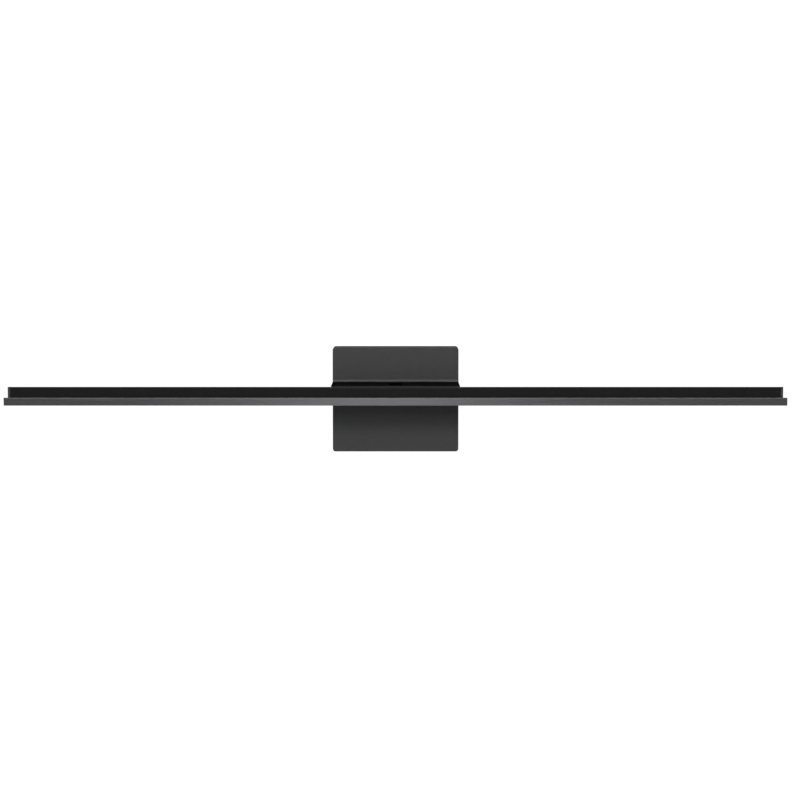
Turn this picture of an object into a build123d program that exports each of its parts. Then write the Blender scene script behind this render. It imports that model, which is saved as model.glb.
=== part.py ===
from build123d import *
from collections import namedtuple
import math
import os

# Vanity light bar: a wall canopy, a flat arm as wide as the canopy, and a long LED bar.
#
# Millimetres, +Z up, +X along the bar. The wall is the plane Y = 0 and the light stands out from
# it towards -Y. The origin is the centre of the canopy's back, on the wall. A depth, called d
# below, is a distance out from the wall, so a point at depth d has Y = -d.

# ---- driving sizes ----
bar_length = 800.0          # front bezel, end to end
bezel_height = 7.9
bezel_thickness = 4.0
bezel_overhang = 3.6        # bezel past each end cap
fascia_height = 10.9        # fascia standing above the bezel
fascia_drop = 0.9           # fascia's top below the arm's top
housing_depth = 32.0
canopy_width = 132.0
canopy_height = 109.7
canopy_depth = 25.0
arm_length = 26.0           # canopy face to the housing's back
arm_top = 18.4              # above the canopy's centre

# ---- walls, sheets and small features ----
canopy_wall = 2.0
canopy_corner = 3.0
canopy_edge_round = 0.5
gasket_thickness = 1.0
plate_thickness = 1.6
plate_inset = 5.5           # wall plate's top and bottom edges inside the canopy
flange_depth = 10.0
backing_thickness = 2.0
backing_width = 112.0
backing_below = 4.0         # backing plate past the arm's bottom
backing_above = 3.0         # and past its top
backing_corner = 4.0
arm_wall = 2.5
root_flare = 2.6            # radius of the hollow bend where the arm meets the canopy
arm_lip = 2.4               # front edge of the arm's top, let into the fascia
lip_root = 1.0              # lip's overlap with the arm's top
lip_round = 0.3
cover_thickness = 2.0
cover_corner = 1.0
housing_wall = 2.4
web_thickness = 1.8
groove_depth = 1.2
diffuser_thickness = 1.8
lip_height = 1.0            # housing wall below the diffuser's groove
port_size = 5.0             # solid corner that the end cap screws thread into
brim_room = 0.85            # between the diffuser and that corner, for the reflector's brim
cap_thickness = 2.0
cap_gasket = 0.6
edge_round = 0.7
bezel_round = 0.3
fascia_root = 1.0           # fascia's overlap with the housing
insert_recess = 2.8         # slot insert's floor below the arm's top
insert_floor = 1.2
insert_rim = 1.0
rim_drop = 0.1              # insert's rim below the arm's top

# ---- wiring slot in the arm's top ----
slot_width = 15.4
slot_start = 5.0            # from the canopy's face
slot_end = 1.4              # from the fascia's back
slot_corner = 1.0
insert_corner = 0.9
channel_width = 9.5         # narrower channel under the slot insert
channel_end = 2.0           # channel's front end before the slot's

# ---- clearances ----
slip = 0.3                  # canopy over its wall plate
fit = 0.15                  # parts that slide into each other
thread_fit = 0.05           # screw in its tapped hole
hole_slack = 0.25           # screw in its through hole
hole_end = 1.0              # tapped hole past its screw's tip
cut_reach = 3.0             # of a cut to each side of a thin wall

# ---- wall plate openings ----
cable_hole_radius = 11.0
cable_hole_margin = 10.0    # from the hole's rim to the plate's top edge
box_slot_spacing = 86.0     # junction box screws
box_slot_radius = 2.4
box_slot_travel = 7.2       # from one end centre of a slot to the other
anchor_spacing_x = 104.0
anchor_spacing_z = 76.0
anchor_radius = 2.25

# ---- LED parts ----
board_side_gap = 0.6        # from the board's edge to the solid corner beside it
board_end_gap = 1.5         # from the board's end to the housing's
board_thickness = 1.0
board_gap = 4.0             # between the two boards, for the plug
tape_thickness = 0.2
tape_inset = 0.5
led_pitch = 8.0
led_start = 12.0            # first LED from the middle
led_end_gap = 4.0           # least distance from the last LED to the housing's end
led_size = (2.8, 3.5, 0.7)
reflector_sheet = 0.5
reflector_play = 0.1        # to the boards, the diffuser and the corners beside it
reflector_end_gap = 1.0
brim_gap = 0.3              # from the reflector's brim to the housing's wall

# ---- wiring ----
cable_diameter = 3.2
cable_play = 0.4            # over and under the cable in its channel
lead_diameter = 2.0
bend_share = 0.45           # share of a route's shorter run that its bend takes up
cable_depth = 11.0          # of the cable and the leads where they leave the driver

# ---- driver case ----
driver_half_width = 44.0
driver_height = 32.0
driver_margin = 2.0         # from the plate's bottom edge
driver_depth = 16.0
driver_wall = 1.6
driver_parting = 6.0        # depth of the case's base
lid_round = 1.2
ear_length = 9.0
ear_half_height = 6.0
part_headroom = 0.6         # between the tallest part on the board and the lid
driver_board_play = 0.6     # around the board in its case
driver_post_x = 36.0
driver_post_margin = 6.0
driver_post_radius = 2.5

# parts on the driver's board, with their places along X and above the case's bottom
transformer_x = 17.0
transformer_rise = 14.0
core_half = 9.0
core_round = 1.0
winding_half = 6.0
winding_height = 1.0        # above the core
capacitor_rise = 11.0
round_capacitors = ((-8.0, 4.0, 0.0), (-20.0, 3.0, 1.5), (36.0, 4.0, 0.5))     # X, radius, headroom
film_capacitor = (-34.0, -26.0, 5.0, 1.5)      # two sides, half its height, headroom

# ---- terminal block ----
block_left = -40.0
block_right = -18.0
block_height = 16.0
block_margin = 5.0          # from the plate's top edge
block_depth = 13.0
pole_pitch = 7.0
ground_x = -53.0
ground_drop = 3.0           # ground screw below the terminal block's bottom
block_round = 0.8
block_peg = 1.5
block_peg_inset = 2.5
block_peg_start = 0.2       # peg's tip clear of the wall
block_window = 2.6
block_window_depth = 6.0
supply_hole_radius = 1.8    # for the building's own wires
supply_hole_depth = 6.0
lead_hole_depth = 5.0
terminal_screw_height = 3.6
screwdriver_slot = (0.8, 1.0)  # width and depth
ring_thickness = 0.8
ring_radius = 4.2
ring_tongue = (1.4, 0.8)    # half its width, and its length from the ring to the barrel
barrel_length = 5.0
barrel_radius = 1.6
barrel_gap = 0.2            # to the wall plate

# ---- small parts ----
bushing_wall = 1.0
bushing_flange = 0.9
bushing_lip = 0.8           # flange past the hole
driver_board_thickness = 1.6
driver_post_height = 2.0
grommet_neck = 3.6
grommet_flange = 4.6
grommet_room = 0.4          # around its flange
grommet_lip = 1.4
pillar_half = 4.5
pillar_depth = 9.0
cover_boss = 3.5
rail_half = 2.4             # half the width of the rails beside the channel
rail_height = 3.5
rib_margin_top = 0.6        # bezel's rib below the bezel's top
rib_margin_low = 1.3        # and above the diffuser's groove
rib_neck_share = 0.57
rib_neck_depth = 1.0
rib_head_depth = 1.2
link_half = 6.0
link_depth = 5.0
link_height = 2.2
link_corner = 0.8
plug_length = 8.0
plug_side_gap = 0.75
plug_top_gap = 0.2
plug_round = 0.5
nose_inset = 1.5            # plug's nose inside its two ends
window_slack = 0.4          # reflector window around an LED

# ---- places worked out from the sizes above ----
tongue_thickness = insert_recess + insert_floor + cable_diameter + 2 * cable_play
plate_height = canopy_height - 2 * canopy_wall - 2 * plate_inset
plate_top = plate_height / 2
driver_bottom = driver_margin - plate_top
driver_top = driver_bottom + driver_height
block_top = plate_top - block_margin
block_bottom = block_top - block_height
ground_z = block_bottom - ground_drop
cable_hole_height = plate_top - cable_hole_margin - cable_hole_radius
canopy_inner = canopy_width / 2 - canopy_wall
arm_half = canopy_width / 2
arm_front = canopy_depth + arm_length
housing_back = arm_front
housing_front = housing_back + housing_depth
bezel_face = housing_front + bezel_thickness
fascia_top = arm_top - fascia_drop
bezel_top = fascia_top - fascia_height
bar_bottom = bezel_top - bezel_height
web_top = arm_top - tongue_thickness
web_bottom = web_top - web_thickness
inner_back = housing_back + housing_wall
inner_front = housing_front - housing_wall
cap_outer = bar_length / 2 - bezel_overhang
cap_inner = cap_outer - cap_thickness
housing_half = cap_inner - cap_gasket
port_depths = (inner_back + port_size / 2, inner_front - port_size / 2)
diffuser_bottom = bar_bottom + lip_height + fit
diffuser_top = diffuser_bottom + diffuser_thickness
port_bottom = diffuser_top + brim_room
port_height = (port_bottom + web_bottom) / 2
board_middle = (inner_back + inner_front) / 2
board_top = web_bottom - tape_thickness
board_bottom = board_top - board_thickness
board_half = (inner_front - inner_back) / 2 - port_size - board_side_gap
insert_top = arm_top - insert_recess
insert_bottom = insert_top - insert_floor
cable_height = web_top + cable_play + cable_diameter / 2
slot_back = canopy_depth + slot_start
slot_front = inner_front - slot_end
plug_back = board_middle - plug_length / 2
plug_front = board_middle + plug_length / 2
backing_back = canopy_depth - canopy_wall - backing_thickness
driver_back = plate_thickness
driver_front = driver_back + driver_depth
parting = driver_back + driver_parting
board_back = driver_back + driver_wall + driver_post_height
board_front = board_back + driver_board_thickness
rib_top = bezel_top - rib_margin_top
rib_head = rib_top - diffuser_top - fit - rib_margin_low
rib_neck = rib_head * rib_neck_share
rib_height = rib_top - rib_head / 2
grommet_opening = grommet_flange + grommet_room
barrel_depth = plate_thickness + barrel_radius + barrel_gap

Thread = namedtuple("Thread", "shank head_radius head_height socket")
M25 = Thread(1.25, 2.2, 1.3, 0.75)
M3 = Thread(1.5, 2.8, 1.6, 1.0)
M4 = Thread(2.0, 3.6, 2.2, 1.25)

socket_share = 0.7          # hex socket's depth as a share of the head's height
crown_share = 0.45          # a round head's rounding, likewise

TO_WALL = (0, 1, 0)
DOWN = (0, 0, -1)
OUT = (0, -1, 0)

# ---- fastener places ----
canopy_screw_heights = (-30.0, 30.0)
canopy_screw_depth = 6.0
canopy_screw_length = 6.0
root_screw_x = 40.0
root_screw_rise = 4.8       # above the arm's bottom
root_screw_drop = 5.6       # below its top
root_screw_heights = (bar_bottom + root_screw_rise, arm_top - root_screw_drop)
root_screw_length = 12.0
bar_screw_x = (24.0, 47.0)
bar_screw_length = 6.0
bar_hole_end = 0.2          # the same for the bar's screws
cover_screw_x = 57.0
cover_screw_margin = 6.0
cover_screw_length = 8.0
cover_hole_depth = 10.0
cap_screw_length = 10.0
ear_screw_x = driver_half_width + ear_length / 2
ear_screw_height = (driver_top + driver_bottom) / 2


# ---- helpers ----
def block(x0, x1, d0, d1, z0, z1):
    """A box between two X values, two depths and two heights."""
    return Pos((x0 + x1) / 2, -(d0 + d1) / 2, (z0 + z1) / 2) * Box(x1 - x0, d1 - d0, z1 - z0)


def rod_x(x0, x1, d, z, radius):
    return Pos((x0 + x1) / 2, -d, z) * Rot(0, 90, 0) * Cylinder(radius, x1 - x0)


def rod_y(x, d0, d1, z, radius):
    return Pos(x, -(d0 + d1) / 2, z) * Rot(90, 0, 0) * Cylinder(radius, d1 - d0)


def rod_z(x, d, z0, z1, radius):
    return Pos(x, -d, (z0 + z1) / 2) * Cylinder(radius, z1 - z0)


def facing(x, d, z, direction):
    """The place of a screw whose head looks along the direction."""
    return Plane(origin=(x, -d, z), z_dir=direction).location


def socket(thread):
    depth = thread.head_height * socket_share
    return extrude(RegularPolygon(thread.socket, 6), amount=-depth)


def flat_screw(thread, length):
    """Countersunk screw with its head's face at Z = 0 and its tip at -length."""
    head = Pos(0, 0, -thread.head_height / 2) * Cone(thread.shank, thread.head_radius, thread.head_height)
    shank = Pos(0, 0, -length / 2) * Cylinder(thread.shank, length)
    return head + shank - socket(thread)


def flat_hole(thread, length):
    """The countersink and through hole of a flat screw."""
    radius = thread.shank + hole_slack
    wide = thread.head_radius + thread_fit
    sink = Pos(0, 0, -thread.head_height / 2) * Cone(radius, wide, thread.head_height)
    return sink + Pos(0, 0, -length / 2) * Cylinder(radius, length)


def button_screw(thread, length):
    """Round-headed screw with its head's underside at Z = 0 and its tip at -length."""
    head = Pos(0, 0, thread.head_height / 2) * Cylinder(thread.head_radius, thread.head_height)
    head = fillet(head.edges().group_by(Axis.Z)[-1], thread.head_height * crown_share)
    shank = Pos(0, 0, -length / 2) * Cylinder(thread.shank, length)
    return head + shank - Pos(0, 0, thread.head_height) * socket(thread)


def group(pieces):
    """Several separate solids kept in one node."""
    return Compound(children=[piece.solid() for piece in pieces])


def report_route(name, radii, path, solid, diameter):
    """Prints a lead's bends and length, and its volume as a share of section times length."""
    bends = ", ".join(f"{radius:.1f}" for radius in radii)
    share = solid.volume / (math.pi * diameter ** 2 / 4 * path.length)
    print(f"{name}: bends {bends} mm, length {path.length:.1f} mm, volume share {share:.3f}")


def route(name, points, diameter):
    """A round lead along straight runs joined by bends as large as the runs allow."""
    corners = [Vector(*p) for p in points]
    radii = []
    for before, here, after in zip(corners, corners[1:], corners[2:]):
        turn = math.radians((here - before).get_angle(after - here))
        run = min((here - before).length, (after - here).length)
        radii.append(bend_share * run / math.tan(turn / 2))
    path = FilletPolyline(*corners, radius=radii)
    profile = Plane(origin=corners[0], z_dir=corners[1] - corners[0]) * Circle(diameter / 2)
    lead = sweep(profile, path=path)
    report_route(name, radii, path, lead, diameter)
    return lead


def soften(solid, face_axis, radius):
    """Rounds the rim of a solid's furthest face along an axis."""
    return fillet(solid.faces().sort_by(face_axis)[-1].edges(), radius)


# ---- wall side ----
def flange_screw_places():
    return [(side, z) for side in (-1, 1) for z in canopy_screw_heights]


def wall_plate():
    half = canopy_inner - slip
    tall = plate_height / 2
    plate = block(-half, half, 0, plate_thickness, -tall, tall)
    plate += block(-half, -half + plate_thickness, 0, flange_depth, -tall, tall)
    plate += block(half - plate_thickness, half, 0, flange_depth, -tall, tall)
    plate -= rod_y(0, 0, plate_thickness, cable_hole_height, cable_hole_radius)
    travel = box_slot_travel / 2
    slot = box_slot_radius
    for side in (-1, 1):
        middle = side * box_slot_spacing / 2
        plate -= block(middle - travel, middle + travel, 0, plate_thickness, -slot, slot)
        for end in (-travel, travel):
            plate -= rod_y(middle + end, 0, plate_thickness, 0, slot)
        for z in (-anchor_spacing_z / 2, anchor_spacing_z / 2):
            plate -= rod_y(side * anchor_spacing_x / 2, 0, plate_thickness, z, anchor_radius)
        plate -= rod_y(side * ear_screw_x, 0, plate_thickness, ear_screw_height, M3.shank + thread_fit)
    for side, z in flange_screw_places():
        middle = side * half
        plate -= rod_x(middle - cut_reach, middle + cut_reach, canopy_screw_depth, z, M3.shank + thread_fit)
    plate -= rod_y(ground_x, 0, plate_thickness, ground_z, M4.shank + thread_fit)
    for x in block_peg_places():
        plate -= rod_y(x, 0, plate_thickness, block_middle(), block_peg + fit)
    return plate


def canopy_ring(inset, d0, d1, corner):
    """A solid slab with the canopy's outline, shrunk by an inset."""
    half = canopy_width / 2 - inset
    tall = canopy_height / 2 - inset
    slab = block(-half, half, d0, d1, -tall, tall)
    return fillet(slab.edges().filter_by(Axis.Y), corner)


def wall_gasket():
    outer = canopy_ring(slip, 0, gasket_thickness, canopy_corner - slip)
    return outer - canopy_ring(canopy_wall, 0, gasket_thickness, canopy_corner - canopy_wall)


def root_screw_places():
    return [(side * root_screw_x, z) for side in (-1, 1) for z in root_screw_heights]


def canopy_cover():
    shell = canopy_ring(0, gasket_thickness, canopy_depth, canopy_corner)
    shell = soften(shell, -Axis.Y, canopy_edge_round)
    hollow_front = canopy_depth - canopy_wall
    shell -= canopy_ring(canopy_wall, gasket_thickness, hollow_front, canopy_corner - canopy_wall)
    shell -= rod_y(0, hollow_front, canopy_depth, cable_height, grommet_neck)
    for x, z in root_screw_places():
        shell -= rod_y(x, hollow_front, canopy_depth, z, M4.shank + hole_slack)
    for side, z in flange_screw_places():
        outside = facing(side * canopy_width / 2, canopy_screw_depth, z, (side, 0, 0))
        shell -= outside * flat_hole(M3, canopy_wall + slip)
    return shell


def canopy_screws():
    screw = flat_screw(M3, canopy_screw_length)
    x = canopy_width / 2
    return group([facing(s * x, canopy_screw_depth, z, (s, 0, 0)) * screw for s, z in flange_screw_places()])


# ---- wiring parts behind the canopy ----
def block_middle():
    return (block_bottom + block_top) / 2


def block_peg_places():
    return (block_left + block_peg_inset, block_right - block_peg_inset)


def pole_places():
    middle = (block_left + block_right) / 2
    return [middle + pole_pitch * step for step in (-1, 0, 1)]


def terminal_block():
    front = driver_back + block_depth
    body = block(block_left, block_right, driver_back, front, block_bottom, block_top)
    body = fillet(body.edges().filter_by(Axis.Z), block_round)
    for x in block_peg_places():
        body += rod_y(x, block_peg_start, driver_back, block_middle(), block_peg)
    for x in pole_places():
        body -= rod_y(x, front - block_window_depth, front, block_middle(), block_window)
        body -= rod_z(x, cable_depth, block_top - supply_hole_depth, block_top, supply_hole_radius)
        lead_hole = lead_diameter / 2 + thread_fit
        body -= rod_z(x, cable_depth, block_bottom, block_bottom + lead_hole_depth, lead_hole)
    return body


def terminal_screws():
    bottom = driver_back + block_depth - block_window_depth
    top = bottom + terminal_screw_height
    radius = block_window - fit
    z = block_middle()
    width, depth = screwdriver_slot
    pieces = []
    for x in pole_places():
        slot = block(x - radius, x + radius, top - depth, top, z - width / 2, z + width / 2)
        pieces.append(rod_y(x, bottom, top, z, radius) - slot)
    return group(pieces)


def ground_screw():
    depth = plate_thickness + ring_thickness
    return facing(ground_x, depth, ground_z, OUT) * button_screw(M4, depth)


def barrel_top():
    return ground_z - ring_radius - ring_tongue[1]


def ground_ring():
    x = ground_x
    front = plate_thickness + ring_thickness
    ring = rod_y(x, plate_thickness, front, ground_z, ring_radius)
    half = ring_tongue[0]
    low = barrel_top() - barrel_radius
    ring += block(x - half, x + half, plate_thickness, front, low, ground_z - ring_radius / 2)
    ring += rod_z(x, barrel_depth, barrel_top() - barrel_length, barrel_top(), barrel_radius)
    return ring - rod_y(x, plate_thickness, front, ground_z, M4.shank + hole_slack)


def lead_ends():
    """Where each lead leaves the terminal block and where it enters the driver."""
    earth, live, neutral = pole_places()
    return {
        "live_lead": (live, live + 3.0),
        "neutral_lead": (neutral, neutral + 5.0),
        "earth_lead": (earth, None),
    }


def supply_lead(name):
    start, end = lead_ends()[name]
    third = (block_bottom - driver_top) / 3
    points = [
        (start, -cable_depth, block_bottom),
        (start, -cable_depth, block_bottom - third),
        (end, -cable_depth, driver_top + third),
        (end, -cable_depth, driver_top - driver_wall),
    ]
    return route(name, points, lead_diameter)


def earth_lead():
    start = lead_ends()["earth_lead"][0]
    barrel_end = barrel_top() - barrel_length
    points = [
        (start, -cable_depth, block_bottom),
        (start, -cable_depth, barrel_end + 3.0),
        (start - 6.0, -cable_depth + 2.0, barrel_end - 8.0),
        (ground_x, -barrel_depth, barrel_end - 9.5),
        (ground_x, -barrel_depth, barrel_end),
    ]
    return route("earth_lead", points, lead_diameter)


# ---- driver ----
def driver_box(d0, d1, wall):
    half = driver_half_width - wall
    return block(-half, half, d0, d1, driver_bottom + wall, driver_top - wall)


def driver_outlets():
    """X place and radius of each hole in the driver's top."""
    ends = lead_ends()
    small = lead_diameter / 2 + bushing_wall
    outlets = [(0.0, cable_diameter / 2 + bushing_wall)]
    outlets += [(ends[name][1], small) for name in ("live_lead", "neutral_lead")]
    return outlets


def driver_base():
    base = driver_box(driver_back, parting, 0)
    base -= driver_box(driver_back + driver_wall, parting, driver_wall)
    for side in (-1, 1):
        low, high = sorted((side * driver_half_width, side * (driver_half_width + ear_length)))
        front = driver_back + driver_wall
        z = ear_screw_height
        ear = block(low, high, driver_back, front, z - ear_half_height, z + ear_half_height)
        base += ear - rod_y(side * ear_screw_x, driver_back, front, z, M3.shank + hole_slack)
    for x, z in board_post_places():
        base += rod_y(x, driver_back + driver_wall, board_back, z, driver_post_radius)
    return base


def board_post_places():
    heights = (driver_bottom + driver_post_margin, driver_top - driver_post_margin)
    return [(side * driver_post_x, z) for side in (-1, 1) for z in heights]


def driver_lid():
    lid = driver_box(parting, driver_front, 0)
    lid = soften(lid, -Axis.Y, lid_round)
    lid -= driver_box(parting, driver_front - driver_wall, driver_wall)
    for x, radius in driver_outlets():
        lid -= rod_z(x, cable_depth, driver_top - driver_wall, driver_top, radius)
    return lid


def driver_bushings():
    pieces = []
    for x, radius in driver_outlets():
        low = driver_top - driver_wall
        bushing = rod_z(x, cable_depth, low, driver_top, radius)
        bushing += rod_z(x, cable_depth, driver_top, driver_top + bushing_flange, radius + bushing_lip)
        bore = radius - bushing_wall
        pieces.append(bushing - rod_z(x, cable_depth, low, driver_top + bushing_flange, bore))
    return group(pieces)


def driver_board():
    margin = driver_wall + driver_board_play
    half = driver_half_width - margin
    return block(-half, half, board_back, board_front, driver_bottom + margin, driver_top - margin)


def driver_transformer():
    """Square ferrite core with a taller winding in its middle."""
    top = driver_front - driver_wall - part_headroom
    x = transformer_x
    z = driver_bottom + transformer_rise
    half = core_half
    core = block(x - half, x + half, board_front, top - winding_height, z - half, z + half)
    core = fillet(core.edges().filter_by(Axis.Y), core_round)
    half = winding_half
    return core + block(x - half, x + half, board_front, top, z - half, z + half)


def driver_capacitors():
    top = driver_front - driver_wall - part_headroom
    z = driver_bottom + capacitor_rise
    pieces = [rod_y(x, board_front, top - gap, z, radius) for x, radius, gap in round_capacitors]
    left, right, half, gap = film_capacitor
    pieces.append(block(left, right, board_front, top - gap, z - half, z + half))
    return group(pieces)


def driver_screws():
    screw = button_screw(M3, driver_wall + plate_thickness - 0.2)
    depth = driver_back + driver_wall
    return group([facing(s * ear_screw_x, depth, ear_screw_height, OUT) * screw for s in (-1, 1)])


# ---- arm ----
def arm_backing_plate():
    half = backing_width / 2
    face = canopy_depth - canopy_wall
    plate = block(-half, half, backing_back, face, bar_bottom - backing_below, arm_top + backing_above)
    plate = fillet(plate.edges().filter_by(Axis.Y), backing_corner)
    plate -= rod_y(0, backing_back, face, cable_height, grommet_opening)
    for x, z in root_screw_places():
        plate -= rod_y(x, backing_back, face, z, M4.shank + hole_slack)
    return plate


def arm_root_screws():
    screw = button_screw(M4, root_screw_length)
    return group([facing(x, backing_back, z, TO_WALL) * screw for x, z in root_screw_places()])


def arm_grommet():
    inner = canopy_depth - canopy_wall
    grommet = rod_y(0, inner - grommet_lip, canopy_depth + grommet_lip, cable_height, grommet_neck)
    grommet += rod_y(0, inner - grommet_lip, inner, cable_height, grommet_flange)
    grommet += rod_y(0, canopy_depth, canopy_depth + grommet_lip, cable_height, grommet_flange)
    bore = cable_diameter / 2
    return grommet - rod_y(0, inner - grommet_lip, canopy_depth + grommet_lip, cable_height, bore)


def flare():
    """Hollow bend that carries the arm's top up onto the canopy's face."""
    depth = canopy_depth + root_flare
    top = arm_top + root_flare
    corner = block(-arm_half, arm_half, canopy_depth, depth, arm_top, top)
    return corner - rod_x(-arm_half, arm_half, depth, top, root_flare)


def cover_screw_places():
    depths = (canopy_depth + cover_screw_margin, arm_front - cover_screw_margin)
    return [(side * cover_screw_x, d) for side in (-1, 1) for d in depths]


def bar_screw_places():
    return [side * x for side in (-1, 1) for x in bar_screw_x]


def arm_hollow():
    half = arm_half - arm_wall
    hollow = block(-half, half, canopy_depth + arm_wall, arm_front - arm_wall, bar_bottom, arm_top - arm_wall)
    top = arm_top - arm_wall
    cover_top = bar_bottom + cover_thickness
    for side in (-1, 1):
        middle = side * root_screw_x
        hollow -= block(middle - pillar_half, middle + pillar_half, canopy_depth + arm_wall,
                        canopy_depth + arm_wall + pillar_depth, cover_top, top)
        rail = side * (channel_width / 2 + rail_half)
        hollow -= block(rail - rail_half, rail + rail_half, canopy_depth + arm_wall, arm_front,
                        top - rail_height, top)
    for x, d in cover_screw_places():
        hollow -= rod_z(x, d, cover_top, top, cover_boss)
    return hollow


def lip():
    """Front edge of the arm's top, which ends flush with the fascia's face."""
    edge = block(-arm_half, arm_half, inner_front - lip_root, housing_front, arm_top - arm_lip, arm_top)
    return fillet(edge.edges().filter_by(Axis.X).group_by(Axis.Y)[0].sort_by(Axis.Z)[-1], lip_round)


def wiring_slot():
    half = slot_width / 2
    channel = channel_width / 2
    upper = block(-half, half, slot_back, slot_front, insert_bottom, arm_top)
    upper = fillet(upper.edges().filter_by(Axis.Z), slot_corner)
    front = slot_front - channel_end
    return upper + block(-channel, channel, canopy_depth + arm_wall, front, web_top, insert_bottom)


def arm_body():
    body = block(-arm_half, arm_half, canopy_depth, arm_front, bar_bottom, arm_top)
    body += block(-arm_half, arm_half, arm_front, inner_front, web_top, arm_top)
    body += flare()
    body += lip()
    body -= arm_hollow()
    body -= wiring_slot()
    body -= rod_y(0, canopy_depth, canopy_depth + arm_wall, cable_height, grommet_opening)
    for x, z in root_screw_places():
        depth = backing_back + root_screw_length + hole_end
        body -= rod_y(x, canopy_depth, depth, z, M4.shank + thread_fit)
    for x, d in cover_screw_places():
        top = bar_bottom + cover_hole_depth
        body -= rod_z(x, d, bar_bottom + cover_thickness, top, M3.shank + thread_fit)
    for x in bar_screw_places():
        body -= rod_y(x, arm_front - arm_wall, arm_front, port_height, M4.shank + hole_slack)
    return body


def arm_bottom_cover():
    half = arm_half - arm_wall - fit
    back = canopy_depth + arm_wall + fit
    front = arm_front - arm_wall - fit
    plate = block(-half, half, back, front, bar_bottom, bar_bottom + cover_thickness)
    plate = fillet(plate.edges().filter_by(Axis.Z), cover_corner)
    for x, d in cover_screw_places():
        plate -= facing(x, d, bar_bottom, DOWN) * flat_hole(M3, cover_thickness)
    return plate


def arm_cover_screws():
    screw = flat_screw(M3, cover_screw_length)
    return group([facing(x, d, bar_bottom, DOWN) * screw for x, d in cover_screw_places()])


def slot_insert():
    half = slot_width / 2 - fit
    rim_top = arm_top - rim_drop
    tray = block(-half, half, slot_back + fit, slot_front - fit, insert_bottom, rim_top)
    tray = fillet(tray.edges().filter_by(Axis.Z), insert_corner)
    inner = half - insert_rim
    back = slot_back + fit + insert_rim
    front = slot_front - fit - insert_rim
    return tray - block(-inner, inner, back, front, insert_top, rim_top)


def bar_screws():
    screw = button_screw(M4, bar_screw_length)
    depth = arm_front - arm_wall
    return group([facing(x, depth, port_height, TO_WALL) * screw for x in bar_screw_places()])


# ---- bar ----
def bezel_rib(half, slack):
    """T-shaped rib on the bezel's back, or with some slack the groove that it slides along."""
    neck = rib_neck / 2 + slack
    head = rib_head / 2 + slack
    neck_end = housing_front - rib_neck_depth
    rib = block(-half, half, neck_end, housing_front, rib_height - neck, rib_height + neck)
    back = neck_end - rib_head_depth - slack
    return rib + block(-half, half, back, neck_end + slack, rib_height - head, rib_height + head)


def plug_window(slack):
    half = board_gap / 2 - fit + slack
    back = plug_back + nose_inset - slack
    front = plug_front - nose_inset + slack
    return block(-half, half, back, front, web_bottom, web_top)


def fascia():
    """Thin wall that stands above the housing, with a notch for the front edge of the arm's top."""
    rail = block(-housing_half, housing_half, inner_front, housing_front, web_top - fascia_root, fascia_top)
    rail = fillet(rail.edges().filter_by(Axis.X).group_by(Axis.Z)[-1], edge_round)
    half = arm_half + fit
    return rail - block(-half, half, inner_front, housing_front, arm_top - arm_lip, arm_top)


def light_housing():
    half = housing_half
    body = block(-half, half, housing_back, housing_front, bar_bottom, web_top) + fascia()
    body -= block(-half, half, inner_back, inner_front, bar_bottom, web_bottom)
    low = bar_bottom + lip_height
    high = diffuser_top + fit
    body -= block(-half, half, inner_back - groove_depth, inner_front + groove_depth, low, high)
    for d in port_depths:
        port = block(-half, half, d - port_size / 2, d + port_size / 2, port_bottom, web_bottom)
        body += port - rod_x(-half, half, d, port_height, M25.shank + thread_fit)
    body -= bezel_rib(half, fit)
    for x in bar_screw_places():
        tip = arm_front - arm_wall + bar_screw_length + bar_hole_end
        body -= rod_y(x, housing_back, tip, port_height, M4.shank + thread_fit)
    return body - plug_window(fit)


def front_bezel():
    half = bar_length / 2
    strip = block(-half, half, housing_front, bezel_face, bar_bottom, bezel_top)
    strip = soften(strip, -Axis.Y, bezel_round)
    return strip + bezel_rib(housing_half - fit, 0)


def cap_profile(x0, x1):
    plate = block(x0, x1, housing_back, housing_front, bar_bottom, web_top)
    return plate + block(x0, x1, inner_front, housing_front, web_top, fascia_top)


def end_cap(side):
    low, high = sorted((side * cap_inner, side * cap_outer))
    cap = cap_profile(low, high)
    outer = Axis.X if side > 0 else -Axis.X
    cap = soften(cap, outer, edge_round)
    for d in port_depths:
        cap -= facing(side * cap_outer, d, port_height, (side, 0, 0)) * flat_hole(M25, cap_thickness)
    return cap


def end_cap_gaskets():
    pieces = []
    for side in (-1, 1):
        low, high = sorted((side * housing_half, side * cap_inner))
        gasket = cap_profile(low, high)
        for d in port_depths:
            gasket -= rod_x(low, high, d, port_height, M25.shank + hole_slack)
        pieces.append(gasket)
    return group(pieces)


def end_cap_screws():
    screw = flat_screw(M25, cap_screw_length)
    places = [(side, d) for side in (-1, 1) for d in port_depths]
    return group([facing(s * cap_outer, d, port_height, (s, 0, 0)) * screw for s, d in places])


def diffuser():
    half = housing_half - fit
    back = inner_back - groove_depth + fit
    front = inner_front + groove_depth - fit
    return block(-half, half, back, front, diffuser_bottom, diffuser_top)


def board_ends(side):
    return sorted((side * board_gap / 2, side * (housing_half - board_end_gap)))


def led_board(side):
    low, high = board_ends(side)
    back = board_middle - board_half
    front = board_middle + board_half
    return block(low, high, back, front, board_bottom, board_top)


def thermal_tapes():
    back = board_middle - board_half + tape_inset
    front = board_middle + board_half - tape_inset
    return group([block(*board_ends(side), back, front, board_top, web_bottom) for side in (-1, 1)])


def led_places():
    count = int((housing_half - led_end_gap - led_start) // led_pitch) + 1
    return [side * (led_start + led_pitch * k) for side in (-1, 1) for k in range(count)]


def led_chip(x, slack):
    long, wide, tall = led_size
    half_x = long / 2 + slack
    half_d = wide / 2 + slack
    back = board_middle - half_d
    front = board_middle + half_d
    return block(x - half_x, x + half_x, back, front, board_bottom - tall, board_bottom)


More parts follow.
